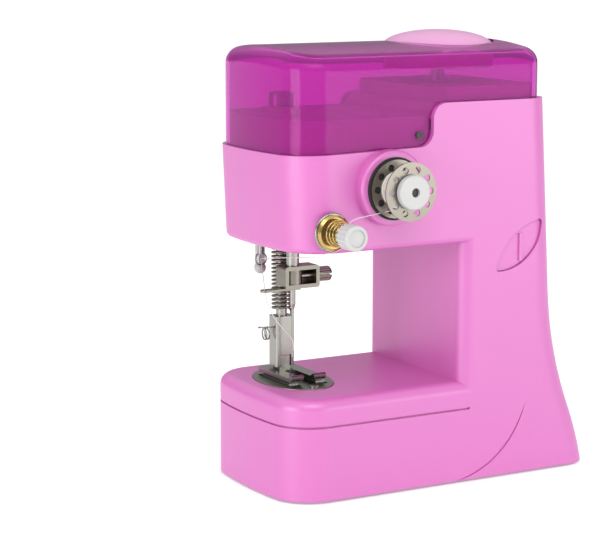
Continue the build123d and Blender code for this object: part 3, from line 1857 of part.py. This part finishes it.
with BuildPart() as spool_cap:
    cap_front = cap_back - cap_thick
    add(ring_y(bobbin_x, cap_front, bobbin_z, cap_radius, cap_hole, cap_thick))
    fillet(spool_cap.faces().sort_by(Axis.Y)[0].outer_wire().edges(), cap_edge)
    add(
        ring_y(bobbin_x, spindle_front, bobbin_z, spindle_radius + run_gap, 0, cap_thick),
        mode=Mode.SUBTRACT,
    )
spool_cap.part.label = "spool_cap"
export_step(spool_cap.part, "parts/spool_cap.step")


# Thread tension: stud, discs, conical spring and knob

dish_y = tension_y - disc_thick
cone_y = dish_y - dish_depth
knob_back = cone_y - cone_length - part_gap
knob_front = knob_back - knob_length
with BuildPart() as tension_stud:
    stud_front = knob_front + knob_cap
    collar = stud_radius + stud_collar
    add(ring_y(tension_x, inner_front + wall, tension_z, collar, 0, stud_collar_thick))
    add(ring_y(tension_x, stud_front, tension_z, stud_radius, 0, inner_front + wall - stud_front))
tension_stud.part.label = "tension_stud"
export_step(tension_stud.part, "parts/tension_stud.step")

with BuildPart() as tension_disc:
    add(ring_y(tension_x, dish_y, tension_z, disc_radius, stud_radius + run_gap, disc_thick))
    fillet(tension_disc.faces().sort_by(Axis.Y)[0].outer_wire().edges(), disc_thick * 0.6)
tension_disc.part.label = "tension_disc"
export_step(tension_disc.part, "parts/tension_disc.step")

with BuildPart() as tension_dish:
    sheet = disc_thick
    lip = disc_radius - dish_step
    with BuildSketch(Plane((tension_x, cone_y, tension_z))):
        with BuildLine():
            Polyline(
                (stud_radius + run_gap, 0),
                (cone_wide + cone_wire, 0),
                (lip, dish_depth - sheet),
                (lip, dish_depth),
                (cone_wide + cone_wire, sheet),
                (stud_radius + run_gap, sheet),
                close=True,
            )
        make_face()
    revolve(axis=Axis((tension_x, 0, tension_z), (0, 1, 0)))
tension_dish.part.label = "tension_dish"
export_step(tension_dish.part, "parts/tension_dish.step")

with BuildPart() as tension_spring:
    add(
        coil(
            "tension_spring",
            Plane((tension_x, cone_y, tension_z), x_dir=(1, 0, 0), z_dir=(0, -1, 0)),
            cone_wide,
            cone_narrow,
            cone_length,
            cone_turns,
            cone_wire,
        )
    )
tension_spring.part.label = "tension_spring"
export_step(tension_spring.part, "parts/tension_spring.step")

with BuildPart() as tension_knob:
    add(ring_y(tension_x, knob_front, tension_z, knob_radius, 0, knob_length))
    fillet(tension_knob.faces().sort_by(Axis.Y)[0].edges(), knob_edge)
    with BuildSketch(Plane.XZ.offset(-knob_back)):
        with Locations((tension_x, tension_z)):
            with PolarLocations(knob_radius + 0.4 * knob_groove, knob_ribs):
                Circle(knob_groove)
    extrude(amount=knob_length - 1.25 * knob_edge, mode=Mode.SUBTRACT)
    add(
        ring_y(tension_x, knob_front, tension_z, knob_face_radius, 0, knob_face_depth),
        mode=Mode.SUBTRACT,
    )
    add(
        ring_y(tension_x, stud_front, tension_z, stud_radius + run_gap, 0, knob_length),
        mode=Mode.SUBTRACT,
    )
tension_knob.part.label = "tension_knob"
export_step(tension_knob.part, "parts/tension_knob.step")


# Power button and the switch behind it

ridge_x = button_x + ridge_offset
ridge_z = button_z - ridge_drop
stem_z = motor_base + switch_height / 2
switch_y = button_back + stem_length + button_travel + part_gap
with BuildPart() as power_button:
    add(column_form(button_sink))
    add(column_form(button_sink + button_thick), mode=Mode.SUBTRACT)
    add(
        block(
            ridge_x - ridge_width / 2,
            ridge_x + ridge_width / 2,
            front_y + button_sink - ridge_proud,
            button_back,
            ridge_z - ridge_height / 2,
            ridge_z + ridge_height / 2,
        )
    )
    add(lens_form(0), mode=Mode.INTERSECT)
    stem_y = button_back - button_thick / 4
    add(ring_y(ridge_x, stem_y, stem_z, stem_radius, 0, button_back + stem_length - stem_y))
power_button.part.label = "power_button"
export_step(power_button.part, "parts/power_button.step")

with BuildPart() as power_switch:
    add(
        block(
            ridge_x - switch_width / 2,
            ridge_x + switch_width / 2,
            switch_y,
            switch_y + switch_depth,
            motor_base,
            motor_base + switch_height,
        )
    )
power_switch.part.label = "power_switch"
export_step(power_switch.part, "parts/power_switch.step")
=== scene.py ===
# %% [markdown]
# # A small craft sewing machine
# The solids of the machine come ready made, each under its own name and on its own moving body.
# This lesson gives them a camera, a studio, their finishes and the sewing thread. Everything is in
# metres, and a piece goes where the solids say, so nothing has to be fitted by eye.

import bpy
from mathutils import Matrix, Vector


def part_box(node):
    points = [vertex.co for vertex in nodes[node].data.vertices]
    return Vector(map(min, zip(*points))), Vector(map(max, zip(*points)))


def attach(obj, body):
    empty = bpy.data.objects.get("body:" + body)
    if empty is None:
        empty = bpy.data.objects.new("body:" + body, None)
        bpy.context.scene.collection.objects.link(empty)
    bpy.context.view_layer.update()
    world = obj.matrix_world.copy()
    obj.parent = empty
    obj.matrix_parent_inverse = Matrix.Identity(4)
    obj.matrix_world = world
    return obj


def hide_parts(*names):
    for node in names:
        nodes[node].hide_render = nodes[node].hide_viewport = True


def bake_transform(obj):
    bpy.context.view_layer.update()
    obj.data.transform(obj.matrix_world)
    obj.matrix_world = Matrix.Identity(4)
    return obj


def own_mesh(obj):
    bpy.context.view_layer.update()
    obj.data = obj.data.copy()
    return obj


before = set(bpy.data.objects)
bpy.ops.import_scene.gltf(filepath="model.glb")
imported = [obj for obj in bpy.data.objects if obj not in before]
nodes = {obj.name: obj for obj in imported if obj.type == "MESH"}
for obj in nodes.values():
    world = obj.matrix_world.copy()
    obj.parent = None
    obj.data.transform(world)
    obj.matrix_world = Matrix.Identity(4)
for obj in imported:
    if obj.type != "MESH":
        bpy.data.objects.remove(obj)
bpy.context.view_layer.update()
print("solids loaded:", len(nodes))

# %% [markdown]
# ## Camera
# A product picture of a small object is taken from some distance with a long lens, so that upright
# edges stay nearly parallel. The camera stands to the left of the front, a little above the middle
# of the machine, and looks along a fixed direction.

# %% Camera
camera_place = Vector((-0.38915, -0.60872, 0.19604))
camera_aim = Vector((0.48290, 0.86016, -0.16419))
camera_data = bpy.data.cameras.new("product_camera")
camera_data.sensor_width = 36.0
camera_data.lens = 120.4
camera_data.clip_start = 0.01
camera = bpy.data.objects.new("product_camera", camera_data)
camera.location = camera_place
camera.rotation_euler = camera_aim.to_track_quat("-Z", "Y").to_euler()
bpy.context.collection.objects.link(camera)
bpy.context.scene.camera = camera
print("camera stands", round(camera_place.length, 3), "m from the middle of the base")

# %% [markdown]
# ## Studio
# The floor is a pale sheet that glows a little, as paper does that is lit from below. It isn't part of
# the machine.

# %% Floor sheet
floor_reach = 0.6
floor_mesh = bpy.data.meshes.new("studio_floor")
corners = [(-floor_reach, -floor_reach, 0), (floor_reach, -floor_reach, 0),
           (floor_reach, floor_reach, 0), (-floor_reach, floor_reach, 0)]
floor_mesh.from_pydata(corners, [], [(0, 1, 2, 3)])
floor = bpy.data.objects.new("studio_floor", floor_mesh)
bpy.context.collection.objects.link(floor)
print("floor reaches", floor_reach, "m each way")

# %% [markdown]
# Under the horizon the world is as white as the sheet, so no line shows where the sheet ends. It is
# bright overhead and dim just above the horizon, as in a studio under one large ceiling light: level
# faces stay deep in colour when they are seen at a low angle, and bright metal gets the dark band that
# shows its form. Two bands of height, added together, set how strongly it glows.

# %% World glow
glow_low, glow_high, glow_under = 0.25, 1.1, 1.1
glow_bands = [
    (0.1, 0.7, glow_low, glow_high),
    (-0.02, 0.0, glow_under - glow_low, 0.0),
]
world = bpy.data.worlds.new("studio_world")
world.use_nodes = True
sky = world.node_tree
ray = sky.nodes.new("ShaderNodeTexCoord").outputs["Generated"]
parts = sky.nodes.new("ShaderNodeSeparateXYZ")
sky.links.new(ray, parts.inputs["Vector"])
total = sky.nodes.new("ShaderNodeMath")
for index, (start, end, low, high) in enumerate(glow_bands):
    band = sky.nodes.new("ShaderNodeMapRange")
    band.interpolation_type = "SMOOTHSTEP"
    for socket, value in (("From Min", start), ("From Max", end), ("To Min", low), ("To Max", high)):
        band.inputs[socket].default_value = value
    sky.links.new(parts.outputs["Z"], band.inputs["Value"])
    sky.links.new(band.outputs["Result"], total.inputs[index])
sky.links.new(total.outputs["Value"], sky.nodes["Background"].inputs["Strength"])
sky.nodes["Background"].inputs["Color"].default_value = (1.0, 1.0, 1.0, 1.0)
bpy.context.scene.world = world
bpy.context.scene.view_settings.view_transform = "Standard"

# %% [markdown]
# Three soft lights face the middle of the machine. One stands high at the front left, one low at the
# left to reach the throat, and one low at the front right, where the front faces mirror it.

# %% Lights


def soft_light(name, place, target, width, height, power):
    """Rectangular light that faces a target point."""
    data = bpy.data.lights.new(name, "AREA")
    data.shape = "RECTANGLE"
    data.size = width
    data.size_y = height
    data.energy = power
    light = bpy.data.objects.new(name, data)
    light.location = place
    light.rotation_euler = (Vector(target) - Vector(place)).to_track_quat("-Z", "Y").to_euler()
    bpy.context.collection.objects.link(light)


middle = (0.0, 0.01, 0.08)
soft_light("top_light", (-0.25, -0.70, 0.75), middle, 0.7, 0.4, 3.6)
soft_light("left_light", (-0.90, -0.20, 0.16), middle, 0.5, 0.28, 2.8)
soft_light("front_light", (0.45, -0.75, 0.12), middle, 0.6, 0.22, 1.5)
print("lights:", len(bpy.data.lights))

# %% [markdown]
# ## Effects that several finishes share
# Moulded plastic is never one flat colour: pigment drifts slowly and the mould leaves a fine skin.
# Drawn or turned metal carries faint lines along its length. Each effect is built once as a node
# group, and every material places the group with values of its own.

# %% Node group helpers


def effect_group(name, inputs, outputs):
    """Empty shader node group with the named sockets and its input and output nodes."""
    tree = bpy.data.node_groups.new(name, "ShaderNodeTree")
    for socket, kind, default in inputs:
        made = tree.interface.new_socket(socket, in_out="INPUT", socket_type=kind)
        made.default_value = default
    for socket, kind in outputs:
        tree.interface.new_socket(socket, in_out="OUTPUT", socket_type=kind)
    return tree, tree.nodes.new("NodeGroupInput"), tree.nodes.new("NodeGroupOutput")


def math_node(tree, operation, first, second):
    """Math node whose inputs are sockets or plain numbers."""
    node = tree.nodes.new("ShaderNodeMath")
    node.operation = operation
    for index, value in enumerate((first, second)):
        if isinstance(value, (int, float)):
            node.inputs[index].default_value = value
        else:
            tree.links.new(value, node.inputs[index])
    return node.outputs[0]


def noise_node(tree, scale, detail, stretch=None):
    """Noise over the surface in object space, drawn out along an axis when stretched."""
    place = tree.nodes.new("ShaderNodeTexCoord").outputs["Object"]
    if stretch is not None:
        mapping = tree.nodes.new("ShaderNodeMapping")
        mapping.inputs["Scale"].default_value = stretch
        tree.links.new(place, mapping.inputs["Vector"])
        place = mapping.outputs["Vector"]
    noise = tree.nodes.new("ShaderNodeTexNoise")
    noise.inputs["Detail"].default_value = detail
    tree.links.new(place, noise.inputs["Vector"])
    if isinstance(scale, (int, float)):
        noise.inputs["Scale"].default_value = scale
    else:
        tree.links.new(scale, noise.inputs["Scale"])
    return noise.outputs["Fac"]


def tinted(tree, tint, drift, pattern):
    """Tint made lighter and darker by a pattern."""
    shade = tree.nodes.new("ShaderNodeHueSaturation")
    tree.links.new(tint, shade.inputs["Color"])
    swing = math_node(tree, "MULTIPLY", math_node(tree, "SUBTRACT", pattern, 0.5), drift)
    tree.links.new(math_node(tree, "ADD", swing, 1.0), shade.inputs["Value"])
    return shade.outputs["Color"]


# %% [markdown]
# Both effects are the same network: slow noise drifts the tint, and fine noise swings the roughness and
# the height. Stretched along one axis the noise turns into lines.

# %% Moulded skin and drawn lines
SURFACE_INPUTS = [
    ("Tint", "NodeSocketColor", (0.8, 0.8, 0.8, 1.0)),
    ("Drift", "NodeSocketFloat", 0.1),
    ("Roughness", "NodeSocketFloat", 0.3),
    ("Swing", "NodeSocketFloat", 0.1),
    ("Scale", "NodeSocketFloat", 900.0),
]
SURFACE_OUTPUTS = [
    ("Color", "NodeSocketColor"),
    ("Roughness", "NodeSocketFloat"),
    ("Height", "NodeSocketFloat"),
]


def surface_group(name, slow_scale, stretch):
    """Group that drifts a tint slowly and swings roughness and height finely."""
    tree, into, out = effect_group(name, SURFACE_INPUTS, SURFACE_OUTPUTS)
    slow = noise_node(tree, slow_scale, 3.0, stretch)
    fine = noise_node(tree, into.outputs["Scale"], 2.0, stretch)
    color = tinted(tree, into.outputs["Tint"], into.outputs["Drift"], slow)
    both = math_node(tree, "MULTIPLY", math_node(tree, "ADD", slow, fine), 0.5)
    swing = math_node(tree, "MULTIPLY", math_node(tree, "SUBTRACT", both, 0.5), into.outputs["Swing"])
    tree.links.new(color, out.inputs["Color"])
    tree.links.new(math_node(tree, "ADD", swing, into.outputs["Roughness"]), out.inputs["Roughness"])
    tree.links.new(fine, out.inputs["Height"])
    return tree


moulded_skin = surface_group("moulded_skin", 28.0, None)
drawn_lines = surface_group("drawn_lines", 60.0, (1.0, 1.0, 0.08))
print("shared effects:", moulded_skin.name, drawn_lines.name)

# %% [markdown]
# ## Finishes
# One function places a shared effect in a new material, joins it to the main shader and sets what
# is the same all over, such as metal and index of refraction, on the shader itself.

# %% Finish maker
relief_depth = 0.0001


def finish(name, effect, tint, drift, roughness, swing, scale, bump, **sockets):
    """Material from a shared effect; sockets are constant values on the main shader."""
    material = bpy.data.materials.new(name)
    material.use_nodes = True
    tree = material.node_tree
    shader = tree.nodes["Principled BSDF"]
    skin = tree.nodes.new("ShaderNodeGroup")
    skin.node_tree = effect
    skin.inputs["Tint"].default_value = (*tint, 1.0)
    for socket, value in (("Drift", drift), ("Roughness", roughness), ("Swing", swing), ("Scale", scale)):
        skin.inputs[socket].default_value = value
    tree.links.new(skin.outputs["Color"], shader.inputs["Base Color"])
    tree.links.new(skin.outputs["Roughness"], shader.inputs["Roughness"])
    relief = tree.nodes.new("ShaderNodeBump")
    relief.inputs["Strength"].default_value = bump
    relief.inputs["Distance"].default_value = relief_depth
    tree.links.new(skin.outputs["Height"], relief.inputs["Height"])
    tree.links.new(relief.outputs["Normal"], shader.inputs["Normal"])
    for socket, value in sockets.items():
        shader.inputs[socket.replace("_", " ")].default_value = value
    return material


# %% [markdown]
# The case is glossy pink, and the cover is clear plastic dyed a deep magenta. Each line gives the tint
# and its drift, the roughness and its swing, then the scale and strength of the fine skin.

# %% Plastics
pink = finish("pink_moulding", moulded_skin, (0.56, 0.125, 0.42), 0.06, 0.38, 0.10, 700.0, 0.05,
              Specular_IOR_Level=1.0, IOR=1.5)
# The hand wheel is the same pink moulding as the case; its paler tint is painted light, the light from
# above on its top.
wheel_painted_light_pink = finish("wheel_painted_light_moulding", moulded_skin, (0.66, 0.30, 0.54), 0.06, 0.38, 0.1, 700.0, 0.05,
                    IOR=1.5)
clear = finish("clear_cover", moulded_skin, (0.68, 0.10, 0.57), 0.05, 0.06, 0.02, 300.0, 0.01,
               Transmission_Weight=0.86, IOR=1.2, Specular_IOR_Level=0.2)
white = finish("white_moulding", moulded_skin, (0.48, 0.48, 0.475), 0.04, 0.32, 0.12, 1200.0, 0.06,
               IOR=1.5)
grey = finish("grey_moulding", moulded_skin, (0.30, 0.29, 0.31), 0.08, 0.5, 0.15, 900.0, 0.03)
black = finish("black_moulding", moulded_skin, (0.02, 0.02, 0.022), 0.15, 0.42, 0.15, 900.0, 0.15)
rubber = finish("foot_rubber", moulded_skin, (0.025, 0.025, 0.027), 0.2, 0.75, 0.15, 1500.0, 0.5)
felt = finish("felt_cloth", moulded_skin, (0.02, 0.019, 0.019), 0.5, 0.95, 0.1, 3500.0, 1.0)
thread = finish("sewing_thread", moulded_skin, (0.66, 0.64, 0.61), 0.1, 0.7, 0.15, 5000.0, 0.6)
cell = finish("cell_sleeve", moulded_skin, (0.05, 0.05, 0.06), 0.1, 0.3, 0.1, 900.0, 0.05)

# %% [markdown]
# Metals take their look from what they mirror, so their tints are kept low and slightly warm.

# %% Metals
nickel = finish("nickel_plate", drawn_lines, (0.24, 0.223, 0.188), 0.12, 0.3, 0.14, 2500.0, 0.12,
                Metallic=1.0)
bright = finish("bright_steel", drawn_lines, (0.34, 0.33, 0.305), 0.08, 0.26, 0.10, 2500.0, 0.06,
                Metallic=1.0)
steel = finish("plain_steel", drawn_lines, (0.32, 0.31, 0.30), 0.15, 0.34, 0.2, 1800.0, 0.2,
               Metallic=1.0)
brass = finish("polished_brass", drawn_lines, (0.50, 0.36, 0.13), 0.1, 0.24, 0.14, 2200.0, 0.1,
               Metallic=1.0)
print("finishes:", len(bpy.data.materials))

# %% [markdown]
# ## Dressing the solids
# The solids keep their shape. Each one takes the finish of the real piece, except that the hand wheel's
# pink is painted lighter for light from above, and all that aren't listed, such as the shafts and the
# screws of the case, are plain steel.

# %% Assign finishes
wears = {
    pink: ["front_shell", "rear_shell", "power_button", "deck_ring"],
    # The hand wheel wears the paler copy of the case pink: painted light from above on the same moulding.
    wheel_painted_light_pink: ["hand_wheel"],
    clear: ["top_cover"],
    white: ["spool_cap", "tension_knob", "drive_gear", "upper_mitre", "lower_mitre", "arm_mitre",
            "low_shaft_mitre", "presser_lifter"],
    grey: ["base_plate", "battery_door", "arm_bearings", "bed_bearings", "column_shelves", "bar_guide"],
    black: ["cover_screws", "power_switch", "bobbin_spindle"],
    rubber: ["rubber_feet"],
    felt: ["felt_ring"],
    thread: ["bobbin_thread"],
    cell: ["battery_cells"],
    nickel: ["bobbin", "needle_plate", "needle_clamp", "clamp_screw", "presser_spring", "bar_bushes"],
    bright: ["needle_bar", "needle", "presser_bar", "presser_foot", "foot_holder", "foot_hook",
             "tension_disc"],
    brass: ["tension_dish", "tension_spring", "battery_contacts", "shaft_bushes", "motor_pinion"],
}
finish_of = {name: material for material, names in wears.items() for name in names}
for name, solid in nodes.items():
    solid.data.materials.clear()
    solid.data.materials.append(finish_of.get(name, steel))
floor_finish = finish("studio_paper", moulded_skin, (0.95, 0.95, 0.95), 0.01, 0.6, 0.05, 300.0, 0.02,
                      Emission_Color=(1.0, 1.0, 1.0, 1.0), Emission_Strength=0.2)
floor.data.materials.append(floor_finish)
print("plain steel solids:", sorted(set(nodes) - set(finish_of)))

# %% [markdown]
# ## Sewing thread
# The thread leaves the winding, dips between the tension discs, runs back under the head to the eye
# and comes forward to the needle. It is held taut from guide to guide, so each stretch is straight
# and bends only where it goes round something. A smooth spline sets the line, and a thin round tube
# of mesh follows it.

# %% Thread maker
thread_width = 0.0003


def thread_tube(name, points):
    """Tube along an open smooth spline through a route in millimetres, and the points of its line."""
    data = bpy.data.curves.new(name, "CURVE")
    data.dimensions = "3D"
    data.bevel_resolution = 2
    spline = data.splines.new("NURBS")
    spline.points.add(len(points) - 1)
    for spot, (x, y, z) in zip(spline.points, points):
        spot.co = (x / 1000, y / 1000, z / 1000, 1.0)
    spline.order_u = 3
    spline.use_endpoint_u = True
    spline.resolution_u = 12
    curve = bpy.data.objects.new(name + "_line", data)
    line = bpy.data.meshes.new_from_object(curve)
    spots = [vertex.co.copy() for vertex in line.vertices]
    bpy.data.meshes.remove(line)
    data.bevel_depth = thread_width / 2
    tube = bpy.data.meshes.new_from_object(curve)
    bpy.data.objects.remove(curve)
    tube.materials.clear()
    tube.materials.append(thread)
    piece = bpy.data.objects.new(name, tube)
    bpy.context.collection.objects.link(piece)
    return piece, spots


# %% [markdown]
# The first stretch stays on the case. How far forward it lies at the winding and at the tension dish
# comes from the boxes of those solids.

# %% Thread from the bobbin to the eye under the head
winding_inset, dish_inset = 1.2, 0.16
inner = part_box("bobbin_thread")[1][1] * 1000 - winding_inset
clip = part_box("tension_dish")[1][1] * 1000 - dish_inset
front_thread, front_spots = thread_tube("front_thread", [
    (-24.1, inner, 103.15),
    (-34.0, (inner + clip) / 2, 101.3),
    (-43.0, clip, 99.6),
    (-42.0, clip, 95.4),
    (-43.8, clip, 90.8),
    (-48.6, clip, 88.9),
    (-52.2, clip, 88.8),
    (-54.2, -22.8, 87.2),
    (-53.6, -14.0, 86.0),
    (-51.6, 5.0, 83.2),
    (-49.6, 25.1, 79.8),
])
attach(front_thread, "housing")

# %% [markdown]
# The last stretch crosses a joint, from the eye past the guide to the needle; it is baked where it
# stands and isn't attached to any body.

# %% Thread from the eye to the needle
needle_thread, needle_spots = thread_tube("needle_thread", [
    (-49.6, 25.1, 79.8),
    (-52.6, 18.0, 75.2),
    (-55.6, 11.2, 71.4),
    (-55.4, 10.9, 69.0),
    (-52.8, 11.2, 61.5),
    (-47.0, 10.2, 54.5),
    (-44.6, 9.9, 52.0),
    (-44.3, 9.9, 47.5),
])
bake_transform(needle_thread)

# %% [markdown]
# ## Spring on the presser bar
# When the foot is lifted, the spring is pressed together against the bush under the head. A copy of its
# solid stands in for it on the housing, and the solid itself is hidden.

# %% Spring copy on the housing
spring = bpy.data.objects.new("bar_spring", nodes["presser_spring"].data.copy())
bpy.context.collection.objects.link(spring)
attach(spring, "housing")
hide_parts("presser_spring")
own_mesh(spring)
